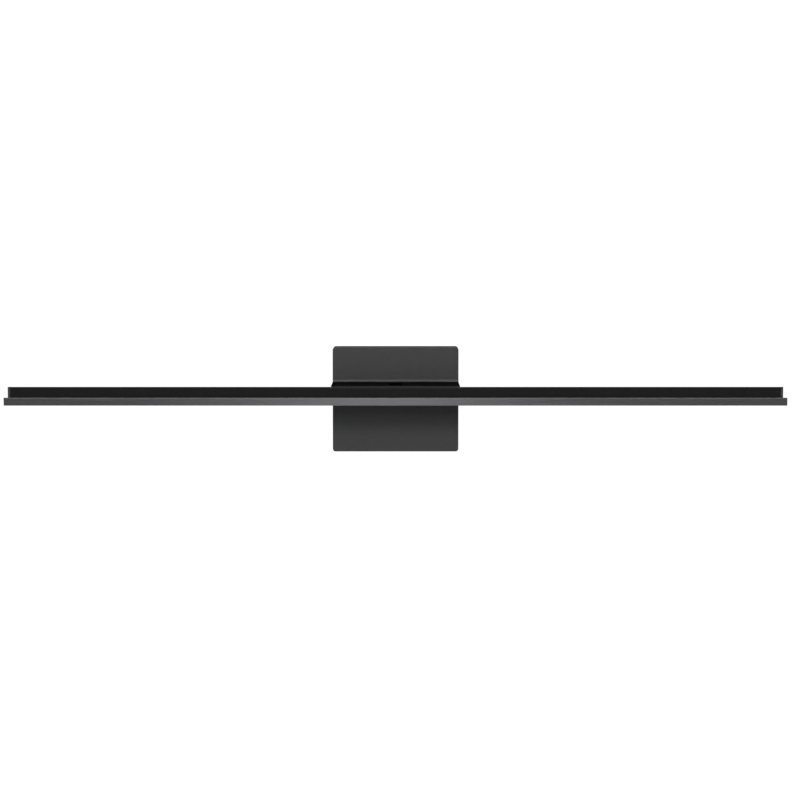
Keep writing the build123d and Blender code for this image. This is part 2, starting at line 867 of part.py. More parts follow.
def led_chips():
    return group([led_chip(x, 0) for x in led_places()])


def board_link():
    back = board_middle - link_depth
    front = board_middle + link_depth
    link = block(-link_half, link_half, back, front, board_bottom - link_height, board_bottom)
    return fillet(link.edges().filter_by(Axis.Z), link_corner)


def reflector():
    """White sheet with a hat section: a flat top under the boards, two walls and two brims."""
    half = housing_half - reflector_end_gap
    top = board_bottom - reflector_play
    wall_back = inner_back + port_size + reflector_play
    wall_front = inner_front - port_size - reflector_play
    brim_low = diffuser_top + reflector_play
    sheet = block(-half, half, wall_back, wall_front, brim_low, top)
    inside_back = wall_back + reflector_sheet
    inside_front = wall_front - reflector_sheet
    sheet -= block(-half, half, inside_back, inside_front, brim_low, top - reflector_sheet)
    brim_top = brim_low + reflector_sheet
    sheet += block(-half, half, inner_back + brim_gap, inside_back, brim_low, brim_top)
    sheet += block(-half, half, inside_front, inner_front - brim_gap, brim_low, brim_top)
    windows = [led_chip(x, window_slack) for x in led_places()]
    gap = link_half + window_slack
    reach = link_depth + window_slack
    back = board_middle - reach
    front = board_middle + reach
    windows.append(block(-gap, gap, back, front, board_bottom - link_height, board_bottom))
    return sheet - windows


def cable_plug():
    half = channel_width / 2 - plug_side_gap
    body = block(-half, half, plug_back, plug_front, web_top, insert_bottom - plug_top_gap)
    body = soften(body, Axis.Z, plug_round)
    nose = board_gap / 2 - fit
    return body + block(-nose, nose, plug_back + nose_inset, plug_front - nose_inset, board_bottom, web_top)


def led_cable():
    start = driver_top - driver_wall
    points = [
        (0, -cable_depth, start),
        (0, -cable_depth, cable_height),
        (0, -plug_back, cable_height),
    ]
    corners = [Vector(*p) for p in points]
    radius = min(bend_share * (cable_height - start), backing_back - cable_depth)
    path = FilletPolyline(*corners, radius=radius)
    cable = sweep(Plane(origin=corners[0], z_dir=(0, 0, 1)) * Circle(cable_diameter / 2), path=path)
    report_route("led_cable", [radius], path, cable, cable_diameter)
    return cable


nodes = {
    "wall_plate": wall_plate(),
    "wall_gasket": wall_gasket(),
    "canopy_cover": canopy_cover(),
    "canopy_screws": canopy_screws(),
    "terminal_block": terminal_block(),
    "terminal_screws": terminal_screws(),
    "ground_screw": ground_screw(),
    "ground_ring": ground_ring(),
    "live_lead": supply_lead("live_lead"),
    "neutral_lead": supply_lead("neutral_lead"),
    "earth_lead": earth_lead(),
    "driver_base": driver_base(),
    "driver_lid": driver_lid(),
    "driver_bushings": driver_bushings(),
    "driver_board": driver_board(),
    "driver_transformer": driver_transformer(),
    "driver_capacitors": driver_capacitors(),
    "driver_screws": driver_screws(),
    "arm_backing_plate": arm_backing_plate(),
    "arm_root_screws": arm_root_screws(),
    "arm_grommet": arm_grommet(),
    "arm_body": arm_body(),
    "arm_bottom_cover": arm_bottom_cover(),
    "arm_cover_screws": arm_cover_screws(),
    "slot_insert": slot_insert(),
    "bar_screws": bar_screws(),
    "light_housing": light_housing(),
    "front_bezel": front_bezel(),
    "end_cap_left": end_cap(-1),
    "end_cap_right": end_cap(1),
    "end_cap_gaskets": end_cap_gaskets(),
    "end_cap_screws": end_cap_screws(),
    "diffuser": diffuser(),
    "led_board_left": led_board(-1),
    "led_board_right": led_board(1),
    "thermal_tapes": thermal_tapes(),
    "led_chips": led_chips(),
    "board_link": board_link(),
    "reflector": reflector(),
    "cable_plug": cable_plug(),
    "led_cable": led_cable(),
}

os.makedirs("parts", exist_ok=True)
for name, shape in nodes.items():
    export_step(shape, f"parts/{name}.step")
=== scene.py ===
import math

import bmesh
import bpy
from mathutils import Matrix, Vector


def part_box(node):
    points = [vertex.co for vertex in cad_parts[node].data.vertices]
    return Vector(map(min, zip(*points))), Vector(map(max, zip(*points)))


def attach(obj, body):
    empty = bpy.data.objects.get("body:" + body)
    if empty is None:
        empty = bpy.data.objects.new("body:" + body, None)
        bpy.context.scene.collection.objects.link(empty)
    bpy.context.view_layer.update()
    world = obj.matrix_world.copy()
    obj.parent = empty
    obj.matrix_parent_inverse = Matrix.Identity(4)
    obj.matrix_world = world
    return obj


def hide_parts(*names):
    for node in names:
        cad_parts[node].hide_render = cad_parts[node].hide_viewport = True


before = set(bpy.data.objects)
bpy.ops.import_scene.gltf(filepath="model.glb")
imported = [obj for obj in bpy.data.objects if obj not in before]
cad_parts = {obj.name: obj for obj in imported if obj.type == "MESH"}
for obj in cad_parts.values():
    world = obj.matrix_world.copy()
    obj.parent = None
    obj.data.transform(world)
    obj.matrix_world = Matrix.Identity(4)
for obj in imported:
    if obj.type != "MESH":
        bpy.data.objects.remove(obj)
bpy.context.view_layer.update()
MM = 0.001
MERGE = 0.0005 * MM         # corners closer together than this are one corner


# ---- materials ----
def srgb(code):
    """Turns an sRGB hex colour into linear RGBA."""
    parts = [int(code[i:i + 2], 16) / 255 for i in (1, 3, 5)]
    linear = [c / 12.92 if c <= 0.04045 else ((c + 0.055) / 1.055) ** 2.4 for c in parts]
    return (*linear, 1.0)


def add(tree, kind, settings=None, links=None):
    """Adds a node, sets its properties and inputs, and links sockets into its inputs."""
    node = tree.nodes.new(kind)
    for key, value in (settings or {}).items():
        if isinstance(key, int) or key in node.inputs:
            node.inputs[key].default_value = value
        else:
            setattr(node, key, value)
    for key, source in (links or {}).items():
        tree.links.new(source, node.inputs[key])
    return node


def surface(name, shader):
    """Starts a material with one Principled shader and returns it with its tree and shader."""
    mat = bpy.data.materials.new(name)
    mat.use_nodes = True
    tree = mat.node_tree
    tree.nodes.clear()
    skin = add(tree, "ShaderNodeBsdfPrincipled", shader)
    add(tree, "ShaderNodeOutputMaterial", None, {"Surface": skin.outputs["BSDF"]})
    return mat, tree, skin


def per_mm(size):
    """Texture scale for a pattern that repeats every so many millimetres."""
    return 1.0 / (size * MM)


def tint(tree, skin, pattern, dark, light, low=0.35, high=0.65):
    """Varies the base colour between two hex colours over a pattern."""
    ramp = add(tree, "ShaderNodeValToRGB", None, {"Fac": pattern})
    ramp.color_ramp.elements[0].position = low
    ramp.color_ramp.elements[0].color = srgb(dark)
    ramp.color_ramp.elements[1].position = high
    ramp.color_ramp.elements[1].color = srgb(light)
    tree.links.new(ramp.outputs["Color"], skin.inputs["Base Color"])


def gloss_range(tree, skin, pattern, rough, spread):
    """Varies the roughness over a pattern, by a spread to each side of its middle value."""
    span = add(tree, "ShaderNodeMapRange", {"To Min": rough - spread, "To Max": rough + spread},
               {"Value": pattern})
    tree.links.new(span.outputs["Result"], skin.inputs["Roughness"])


def relief(tree, skin, pattern, height_mm, strength):
    """Raises the surface by a pattern of a real height."""
    bump = add(tree, "ShaderNodeBump", {"Distance": height_mm * MM, "Strength": strength},
               {"Height": pattern})
    tree.links.new(bump.outputs["Normal"], skin.inputs["Normal"])


def grain(tree, size, detail=3.0, stretch=(1.0, 1.0, 1.0)):
    """Noise whose grains have a size in mm, stretched along an axis where a process draws it out."""
    place = add(tree, "ShaderNodeTexCoord")
    turn = add(tree, "ShaderNodeMapping", {"Scale": stretch}, {"Vector": place.outputs["Object"]})
    noise = add(tree, "ShaderNodeTexNoise", {"Scale": per_mm(size), "Detail": detail, "Roughness": 0.55},
                {"Vector": turn.outputs["Vector"]})
    return noise.outputs["Fac"]


def powder_coat(name, dark, light, rough, level):
    # Polyester powder coat, sprayed and baked: a pebbled skin about 1.5 mm across that spreads highlights.
    mat, tree, skin = surface(name, {"IOR": 1.5, "Specular IOR Level": level})
    pebble = grain(tree, size=1.5)
    tint(tree, skin, grain(tree, size=9.0), dark, light)
    gloss_range(tree, skin, grain(tree, size=2.5), rough, spread=0.05)
    relief(tree, skin, pebble, height_mm=0.03, strength=0.35)
    return mat


def anodised_aluminium(name, dark, light, rough):
    # Extruded strip, brushed along its length, dyed grey and sealed: fine long lines and a satin gleam.
    mat, tree, skin = surface(name, {"Metallic": 1.0})
    lines = grain(tree, size=0.5, detail=4.0, stretch=(0.004, 1.0, 1.0))
    tint(tree, skin, lines, dark, light)
    gloss_range(tree, skin, lines, rough, spread=0.04)
    relief(tree, skin, lines, height_mm=0.01, strength=0.25)
    return mat


def plated_metal(name, dark, light, rough):
    # Rolled or drawn metal with thin bright plating: lines 0.6 mm apart and faint clouds 14 mm across.
    mat, tree, skin = surface(name, {"Metallic": 1.0})
    tint(tree, skin, grain(tree, size=14.0, detail=5.0), dark, light, low=0.3, high=0.7)
    lines = grain(tree, size=0.6, detail=3.0, stretch=(0.02, 1.0, 1.0))
    gloss_range(tree, skin, lines, rough, spread=0.07)
    relief(tree, skin, lines, height_mm=0.01, strength=0.25)
    return mat


def moulded(name, dark, light, rough, texture_mm=0.4, height_mm=0.01, level=0.5):
    # Injection-moulded plastic or rubber: an even colour with the mould's fine spark-eroded texture.
    mat, tree, skin = surface(name, {"IOR": 1.5, "Specular IOR Level": level})
    tint(tree, skin, grain(tree, size=12.0), dark, light)
    gloss_range(tree, skin, grain(tree, size=3.0), rough, spread=0.04)
    relief(tree, skin, grain(tree, texture_mm), height_mm, strength=0.3)
    return mat


def opal_acrylic(name, dark, light, rough):
    # Extruded opal acrylic: milky, light passes into it, with a soft satin face.
    depth = 2.0 * MM
    mat, tree, skin = surface(name, {"IOR": 1.49, "Subsurface Weight": 0.5, "Subsurface Scale": depth})
    tint(tree, skin, grain(tree, size=20.0), dark, light)
    gloss_range(tree, skin, grain(tree, size=2.0), rough, spread=0.05)
    lines = grain(tree, size=0.8, stretch=(0.01, 1.0, 1.0))
    relief(tree, skin, lines, height_mm=0.01, strength=0.2)
    return mat


# Each finish with its material's name, its darkest and lightest colours and its roughness. The level is
# how strongly it reflects.
MATERIALS = {
    "canopy_coat": powder_coat("satin_black_powder_coat", "#0C0C0D", "#101011", 0.50, level=0.5),
    # Painted shade: the next two are darker copies of the arm's satin coat, for its top and its front lip,
    # standing in for how the light falls there.
    "top_painted_shade_coat": powder_coat("black_coat_painted_top_shade", "#020202", "#030303", 0.85, level=0.02),
    "lip_painted_shade_coat": powder_coat("black_coat_painted_lip_shade", "#060606", "#090909", 0.58, level=0.24),
    "housing_coat": powder_coat("matte_black_powder_coat", "#050505", "#080808", 0.62, level=0.13),
    "bezel": anodised_aluminium("dark_grey_anodised_aluminium", "#5A5A5C", "#626264", 0.29),
    "zinc": plated_metal("zinc_plated_sheet_steel", "#8F9193", "#A0A2A3", 0.40),
    "zinc_screw": plated_metal("bright_zinc_screw_steel", "#B4B2AC", "#CDCBC4", 0.28),
    "black_screw": powder_coat("black_oxide_screw_steel", "#101011", "#161617", 0.42, level=0.5),
    "brass": plated_metal("tinned_brass", "#B59A5A", "#CBB27A", 0.30),
    # Partly painted shade: a black nylon insert in a shallow recess, made near black and nearly unreflecting
    # to stand in for the shade of a deep recess.
    "slot_black_painted_shade": moulded("black_nylon_painted_recess_shade", "#010101", "#020202", 0.95, 0.5, level=0.02),
    "black_nylon": moulded("black_moulded_nylon", "#030303", "#060606", 0.60, 0.5, level=0.3),
    "white_polycarbonate": moulded("white_moulded_polycarbonate", "#DAD9D3", "#E6E5E0", 0.38),
    "black_silicone": moulded("black_moulded_silicone", "#0E0E0E", "#161616", 0.65),
    "foam": moulded("closed_cell_foam", "#111112", "#1E1E1F", 0.85, texture_mm=0.7, height_mm=0.12),
    "opal": opal_acrylic("opal_acrylic", "#ECEBE6", "#F6F5F1", 0.37),
    "film": moulded("white_reflector_film", "#EFEFEC", "#F8F8F6", 0.30),
    "white_mask": moulded("white_solder_mask", "#E2E2DC", "#EEEEEA", 0.35),
    "green_mask": moulded("green_solder_mask", "#0F4A2A", "#1B6A3E", 0.30),
    "led_body": moulded("led_package_resin", "#E4E3DE", "#EFEEEA", 0.35),
    "led_phosphor": moulded("led_phosphor_silicone", "#E8C24A", "#F0D060", 0.30, texture_mm=0.2),
    "led_pad": plated_metal("tinned_copper_pad", "#B9BCC0", "#CDD0D3", 0.30),
    "ferrite": moulded("ferrite_core", "#26262A", "#38383C", 0.50),
    "sleeve": moulded("capacitor_sleeve_vinyl", "#1A2340", "#26315A", 0.35),
    "tape": moulded("filled_silicone_tape", "#B8B8B0", "#C8C8C0", 0.70),
    "black_pvc": moulded("black_pvc_sheath", "#121212", "#1C1C1C", 0.45),
    "brown_pvc": moulded("brown_pvc_insulation", "#4A2A18", "#5C3620", 0.40),
    "blue_pvc": moulded("blue_pvc_insulation", "#1A3C8C", "#2248A0", 0.40),
    "green_pvc": moulded("green_pvc_insulation", "#1E7A3A", "#2A9048", 0.40),
}

FINISHES = {
    "canopy_coat": ["canopy_cover", "arm_body", "arm_bottom_cover", "end_cap_left", "end_cap_right"],
    "housing_coat": ["light_housing"],
    "bezel": ["front_bezel"],
    "zinc": ["wall_plate", "arm_backing_plate"],
    "zinc_screw": ["arm_root_screws", "bar_screws", "driver_screws", "ground_screw", "terminal_screws"],
    "black_screw": ["canopy_screws", "arm_cover_screws", "end_cap_screws"],
    "brass": ["ground_ring"],
    # The slot insert's near black is partly painted shade of a deep recess.
    "slot_black_painted_shade": ["slot_insert"],
    "black_nylon": ["cable_plug"],
    "white_polycarbonate": ["terminal_block", "driver_base", "driver_lid", "board_link"],
    "black_silicone": ["driver_bushings", "arm_grommet", "end_cap_gaskets"],
    "foam": ["wall_gasket"],
    "opal": ["diffuser"],
    "film": ["reflector"],
    "white_mask": ["led_board_left", "led_board_right"],
    "green_mask": ["driver_board"],
    "led_body": ["led_chips"],
    "ferrite": ["driver_transformer"],
    "sleeve": ["driver_capacitors"],
    "tape": ["thermal_tapes"],
    "black_pvc": ["led_cable"],
    "brown_pvc": ["live_lead"],
    "blue_pvc": ["neutral_lead"],
    "green_pvc": ["earth_lead"],
}

for finish, names in FINISHES.items():
    for name in names:
        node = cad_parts[name]
        node.data.materials.clear()
        node.data.materials.append(MATERIALS[finish])


# ---- meshes taken from the frame ----
def node_copy(name, node):
    """A merged copy of a CAD node's mesh, as a new object of its own."""
    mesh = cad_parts[node].data.copy()
    mesh.name = name
    work = bmesh.new()
    work.from_mesh(mesh)
    bmesh.ops.remove_doubles(work, verts=work.verts, dist=MERGE)
    work.to_mesh(mesh)
    work.free()
    piece = bpy.data.objects.new(name, mesh)
    bpy.context.scene.collection.objects.link(piece)
    return piece


def islands(node):
    """The boxes of a CAD node's separate solids, as (lowest corner, highest corner), from left to right."""
    work = bmesh.new()
    work.from_mesh(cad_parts[node].data)
    bmesh.ops.remove_doubles(work, verts=work.verts, dist=MERGE)
    boxes, seen = [], set()
    for start in work.verts:
        if start in seen:
            continue
        seen.add(start)
        group, stack = [], [start]
        while stack:
            vert = stack.pop()
            group.append(vert.co.copy())
            for edge in vert.link_edges:
                other = edge.other_vert(vert)
                if other not in seen:
                    seen.add(other)
                    stack.append(other)
        boxes.append([Vector([pick(c[i] for c in group) for i in range(3)]) for pick in (min, max)])
    work.free()
    return sorted(boxes, key=lambda b: (b[0] + b[1]).x)


def settle(piece, slot, *nodes):
    """Rides a finished piece on the light and lets it stand for its CAD nodes."""
    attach(piece, "root")
    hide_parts(*nodes)


# ---- geometry trees ----
def socket_of(tree, name, kind="NodeSocketFloat"):
    """A named input on a node tree."""
    return tree.interface.new_socket(name, in_out="INPUT", socket_type=kind)


def new_tree(name, sizes):
    """A geometry tree with its points and sizes as named inputs, and its start and end nodes."""
    tree = bpy.data.node_groups.new(name, "GeometryNodeTree")
    socket_of(tree, "Points", "NodeSocketGeometry")
    for size in sizes:
        socket_of(tree, size)
    tree.interface.new_socket("Mesh", in_out="OUTPUT", socket_type="NodeSocketGeometry")
    return tree, add(tree, "NodeGroupInput").outputs, add(tree, "NodeGroupOutput")


def on_points(tree, parts, points):
    """Puts a copy of the parts on each point, turned to its facing, and makes them real."""
    facing = add(tree, "GeometryNodeInputNamedAttribute", {"data_type": "FLOAT_VECTOR", "Name": "facing"})
    turn = add(tree, "FunctionNodeAlignRotationToVector", {"axis": "Z"},
               {"Vector": facing.outputs["Attribute"]})
    placed = add(tree, "GeometryNodeInstanceOnPoints", None,
                 {"Points": points, "Instance": parts, "Rotation": turn.outputs["Rotation"]})
    real = add(tree, "GeometryNodeRealizeInstances", None, {"Geometry": placed.outputs["Instances"]})
    return real.outputs["Geometry"]


def shown_as(tree, geometry, material):
    """Gives a geometry its material inside the tree."""
    shown = add(tree, "GeometryNodeSetMaterial", {"Material": material}, {"Geometry": geometry})
    return shown.outputs["Geometry"]


def joined(tree, *parts):
    """Several geometries as one."""
    whole = add(tree, "GeometryNodeJoinGeometry")
    for part in parts:
        tree.links.new(part, whole.inputs[0])
    return whole.outputs[0]


def shifted(tree, geometry, **distances):
    """Moves a geometry along its own X, Y and Z by distances held in sockets."""
    shift = add(tree, "ShaderNodeCombineXYZ", None, distances)
    place = add(tree, "GeometryNodeTransform", None, {"Geometry": geometry, "Translation": shift.outputs[0]})
    return place.outputs[0]


def worked_out(tree, operation, first, second):
    """A math node on a socket and a second value, which is a socket or a number."""
    node = add(tree, "ShaderNodeMath", {"operation": operation}, {0: first})
    if isinstance(second, bpy.types.NodeSocket):
        tree.links.new(second, node.inputs[1])
    else:
        node.inputs[1].default_value = second
    return node.outputs[0]


def union(tree, *meshes):
    """Meshes merged into one closed shape."""
    node = add(tree, "GeometryNodeMeshBoolean", {"operation": "UNION", "solver": "EXACT"})
    for mesh in meshes:
        tree.links.new(mesh, node.inputs["Mesh 2"])
    return node.outputs["Mesh"]


def difference(tree, body, tool):
    """A mesh with another cut out of it."""
    node = add(tree, "GeometryNodeMeshBoolean", {"operation": "DIFFERENCE", "solver": "EXACT"},
               {"Mesh 1": body, "Mesh 2": tool})
    return node.outputs["Mesh"]


def cone(tree, sides, bottom, top, depth):
    """A plain cone frustum along Z, whose radii and depth are sockets."""
    node = add(tree, "GeometryNodeMeshCone", {"Vertices": sides, "Side Segments": 1},
               {"Radius Top": top, "Radius Bottom": bottom, "Depth": depth})
    return node.outputs["Mesh"]


def cylinder(tree, sides, radius, depth):
    """A cylinder along Z, whose radius and depth are sockets."""
    node = add(tree, "GeometryNodeMeshCylinder", {"Vertices": sides}, {"Radius": radius, "Depth": depth})
    return node.outputs["Mesh"]


def box(tree, length, width, height):
    """A box whose sizes are sockets."""
    span = add(tree, "ShaderNodeCombineXYZ", None, {"X": length, "Y": width, "Z": height})
    return add(tree, "GeometryNodeMeshCube", None, {"Size": span.outputs[0]}).outputs["Mesh"]


def grown(name, tree, points, facings, sizes):
    """Runs a tree on points that face given ways, and returns its result as a plain piece."""
    seed = bpy.data.meshes.new(name + "_points")
    seed.from_pydata([tuple(p) for p in points], [], [])
    facing = seed.attributes.new("facing", "FLOAT_VECTOR", "POINT")
    facing.data.foreach_set("vector", [c for f in facings for c in f])
    maker = bpy.data.objects.new(name + "_maker", seed)
    bpy.context.scene.collection.objects.link(maker)
    step = maker.modifiers.new("grow", "NODES")
    step.node_group = tree
    for item in tree.interface.items_tree:
        if item.in_out == "INPUT" and item.name in sizes:
            step[item.identifier] = float(sizes[item.name])
    bpy.context.view_layer.update()
    live = maker.evaluated_get(bpy.context.evaluated_depsgraph_get())
    mesh = bpy.data.meshes.new_from_object(live)
    mesh.name = name
    maker.modifiers.remove(step)
    bpy.data.objects.remove(maker)
    piece = bpy.data.objects.new(name, mesh)
    bpy.context.scene.collection.objects.link(piece)
    return piece


# ---- sides of a box, each an axis and a sign ----
X_AXIS, Z_AXIS = 0, 2


def outward(box):
    """The side of a box that faces away from the middle of the light."""
    return X_AXIS, 1 if (box[0] + box[1]).x > 0 else -1


def downward(box):
    """The underside of a box."""
    return Z_AXIS, -1


def facing_of(box, side):
    """The middle of a box's face on one side, and the way that it faces."""
    axis, sign = side
    spot = (box[0] + box[1]) / 2
    spot[axis] = box[1][axis] if sign > 0 else box[0][axis]
    way = Vector((0, 0, 0))
    way[axis] = sign
    return spot, way


# ---- screws ----
# Metric socket screws. The shank and the key are half widths, as the head is.
M3 = {"head_radius": 2.8 * MM, "head_height": 1.6 * MM, "shank": 1.5 * MM, "pitch": 0.5 * MM,
      "key": 1.15 * MM}
M2_5 = {"head_radius": 2.2 * MM, "head_height": 1.3 * MM, "shank": 1.25 * MM, "pitch": 0.45 * MM,
        "key": 0.87 * MM}

CROWN = 0.12 * MM           # chamfer round the face of a head
NECK_SHARE = 0.9            # narrow end of a head, of its shank's radius
THREAD_SHARE = 0.5          # depth of a thread, of its pitch
SOCKET_SHARE = 0.65         # depth of a socket, of its head's height
HEAD_SIDES = 40
SHANK_SIDES = 24
KEY_SIDES = 6
RINGS_PER_TURN = 6.0        # of a thread

SCREW_SIZES = ["Seat", "Low radius", "Wide radius", "Low height", "Crown radius", "Crown height",
               "Shank radius", "Shank length", "Pitch", "Thread depth", "Socket radius", "Socket depth"]


def screw_head(tree, start):
    """A countersunk head with a chamfered face and a hexagon socket."""
    wide_at = worked_out(tree, "ADD", start["Seat"], start["Low height"])
    top_at = worked_out(tree, "ADD", wide_at, start["Crown height"])
    low = cone(tree, HEAD_SIDES, start["Low radius"], start["Wide radius"], start["Low height"])
    crown = cone(tree, HEAD_SIDES, start["Wide radius"], start["Crown radius"], start["Crown height"])
    head = union(tree, shifted(tree, low, Z=start["Seat"]), shifted(tree, crown, Z=wide_at))
    reach = worked_out(tree, "MULTIPLY", start["Socket depth"], 2.0)
    key = cylinder(tree, KEY_SIDES, start["Socket radius"], reach)
    return difference(tree, head, shifted(tree, key, Z=top_at))


def screw_shank(tree, start):
    """A shank whose radius follows a rolled thread."""
    turns = worked_out(tree, "DIVIDE", start["Shank length"], start["Pitch"])
    rings = add(tree, "FunctionNodeFloatToInt", None,
                {"Float": worked_out(tree, "MULTIPLY", turns, RINGS_PER_TURN)})
    rod = add(tree, "GeometryNodeMeshCylinder", {"Vertices": SHANK_SIDES},
              {"Side Segments": rings.outputs[0], "Radius": start["Shank radius"],
               "Depth": start["Shank length"]})

    where = add(tree, "GeometryNodeInputPosition").outputs[0]
    axes = add(tree, "ShaderNodeSeparateXYZ", None, {"Vector": where})
    angle = worked_out(tree, "ARCTAN2", axes.outputs["Y"], axes.outputs["X"])
    share = worked_out(tree, "DIVIDE", angle, 2 * math.pi)
    climb = worked_out(tree, "ADD", worked_out(tree, "DIVIDE", axes.outputs["Z"], start["Pitch"]), share)
    valley = worked_out(tree, "PINGPONG", climb, 0.5)
    depth = worked_out(tree, "MULTIPLY", valley, start["Thread depth"])
    cut = worked_out(tree, "MULTIPLY", depth, -2.0)

    flat = add(tree, "ShaderNodeCombineXYZ", None, {"X": axes.outputs["X"], "Y": axes.outputs["Y"]})
    radial = add(tree, "ShaderNodeVectorMath", {"operation": "NORMALIZE"}, {0: flat.outputs[0]})
    push = add(tree, "ShaderNodeVectorMath", {"operation": "SCALE"}, {0: radial.outputs[0], "Scale": cut})
    thread = add(tree, "GeometryNodeSetPosition", None,
                 {"Geometry": rod.outputs["Mesh"], "Offset": push.outputs[0]})
    half = worked_out(tree, "MULTIPLY", start["Shank length"], -0.5)
    return shifted(tree, thread.outputs[0], Z=worked_out(tree, "ADD", half, start["Seat"]))


def screw_tree(material):
    """Screws with a hexagon socket and a rolled thread, one on each point, facing out of its head."""
    tree, start, end = new_tree("screw_set", SCREW_SIZES)
    whole = joined(tree, screw_head(tree, start), screw_shank(tree, start))
    real = on_points(tree, whole, start["Points"])
    tree.links.new(shown_as(tree, real, material), end.inputs["Mesh"])
    return tree


def flat_screws(name, node, side_of, head_radius, head_height, shank, pitch, key):
    """Countersunk screws in place of a CAD node's plain ones, flush with the face that they hold."""
    boxes = islands(node)
    sides = [side_of(b) for b in boxes]
    spots, ways = zip(*[facing_of(b, s) for b, s in zip(boxes, sides)])
    axis = sides[0][0]
    length = (boxes[0][1] - boxes[0][0])[axis]
    sizes = {"Seat": -head_height, "Low radius": shank * NECK_SHARE, "Wide radius": head_radius,
             "Low height": head_height - CROWN, "Crown radius": head_radius - CROWN, "Crown height": CROWN,
             "Shank radius": shank, "Shank length": length - head_height, "Pitch": pitch,
             "Thread depth": pitch * THREAD_SHARE, "Socket radius": key,
             "Socket depth": head_height * SOCKET_SHARE}
    piece = grown(name, screw_tree(MATERIALS["black_screw"]), spots, ways, sizes)
    settle(piece, "black_screw", node)


def exterior_screws():
    """The screws that show: in the canopy's sides, in the end caps and under the arm."""
    flat_screws("canopy_side_screws", "canopy_screws", outward, **M3)
    flat_screws("end_cap_fixings", "end_cap_screws", outward, **M2_5)
    flat_screws("cover_fixings", "arm_cover_screws", downward, **M3)


# ---- LED packages ----
PAD_LENGTH = 0.7 * MM
PAD_THICKNESS = 0.1 * MM
PAD_SHARE = 0.8             # width of a pad, of its package's
DISH_RADIUS = 1.15 * MM
DISH_DEPTH = 0.25 * MM
FILL_DEPTH = 0.2 * MM
FILL_SHARE = 0.98           # radius of the phosphor, of its dish's
DISH_SIDES = 20

LED_SIZES = ["Length", "Width", "Height", "Pad length", "Pad thickness", "Dish radius", "Dish depth",
             "Fill depth"]


def led_resin(tree, start, height):
    """The package's frame, with a round dish in its face."""
    middle = worked_out(tree, "MULTIPLY", height, -0.5)
    frame_box = shifted(tree, box(tree, start["Length"], start["Width"], height), Z=middle)
    reach = worked_out(tree, "MULTIPLY", start["Dish depth"], 2.0)
    return difference(tree, frame_box, cylinder(tree, DISH_SIDES, start["Dish radius"], reach))


def led_phosphor(tree, start):
    """The phosphor that fills the dish nearly to its rim."""
    radius = worked_out(tree, "MULTIPLY", start["Dish radius"], FILL_SHARE)
    half = worked_out(tree, "MULTIPLY", start["Fill depth"], 0.5)
    middle = worked_out(tree, "SUBTRACT", half, start["Dish depth"])
    return shifted(tree, cylinder(tree, DISH_SIDES, radius, start["Fill depth"]), Z=middle)


def led_pad(tree, start, height, share):
    """One of the two pads under the frame, at a share of the way from the middle to both ends."""
    width = worked_out(tree, "MULTIPLY", start["Width"], PAD_SHARE)
    half = worked_out(tree, "MULTIPLY", start["Pad thickness"], -0.5)
    middle = worked_out(tree, "SUBTRACT", half, height)
    reach = worked_out(tree, "SUBTRACT", start["Length"], start["Pad length"])
    pad = box(tree, start["Pad length"], width, start["Pad thickness"])
    return shifted(tree, pad, X=worked_out(tree, "MULTIPLY", reach, share), Z=middle)


def led_tree():
    """Surface-mount LEDs: a resin frame with a round dish, phosphor in the dish, and a pad at each end."""
    tree, start, end = new_tree("led_set", LED_SIZES)
    height = worked_out(tree, "SUBTRACT", start["Height"], start["Pad thickness"])
    pads = [shown_as(tree, led_pad(tree, start, height, share), MATERIALS["led_pad"])
            for share in (-0.5, 0.5)]
    resin = shown_as(tree, led_resin(tree, start, height), MATERIALS["led_body"])
    phosphor = shown_as(tree, led_phosphor(tree, start), MATERIALS["led_phosphor"])
    whole = joined(tree, *pads, resin, phosphor)
    tree.links.new(on_points(tree, whole, start["Points"]), end.inputs["Mesh"])
    return tree


def led_packages():
    """One package in place of each of the boards' plain LEDs, looking down at the diffuser."""
    boxes = islands("led_chips")
    spots, ways = zip(*[facing_of(b, downward(b)) for b in boxes])
    size = boxes[0][1] - boxes[0][0]
    sizes = {"Length": size.x, "Width": size.y, "Height": size.z, "Pad length": PAD_LENGTH,
             "Pad thickness": PAD_THICKNESS, "Dish radius": DISH_RADIUS, "Dish depth": DISH_DEPTH,
             "Fill depth": FILL_DEPTH}
    piece = grown("led_packages", led_tree(), spots, ways, sizes)
    settle(piece, "led_package", "led_chips")


# ---- arm ----
FLARE_RADIUS = 2.6 * MM     # hollow bend where the arm's top meets the canopy
FLARE_LENGTH = 1.5 * MM     # the part of that bend that keeps the canopy's coat; past it the bend takes the top's painted shade
TOP_SLACK = 0.1 * MM        # the top's faces reach this far below its level
LIP_DEPTH = 0.5 * MM        # the lip's faces reach this far back from the front
FACES_UP = 0.5              # least upward part of the normal of a face of the top
# The arm's own coat, then its painted-shade copies for the top and for the front lip.
ARM_COATS = ["canopy_coat", "top_painted_shade_coat", "lip_painted_shade_coat"]


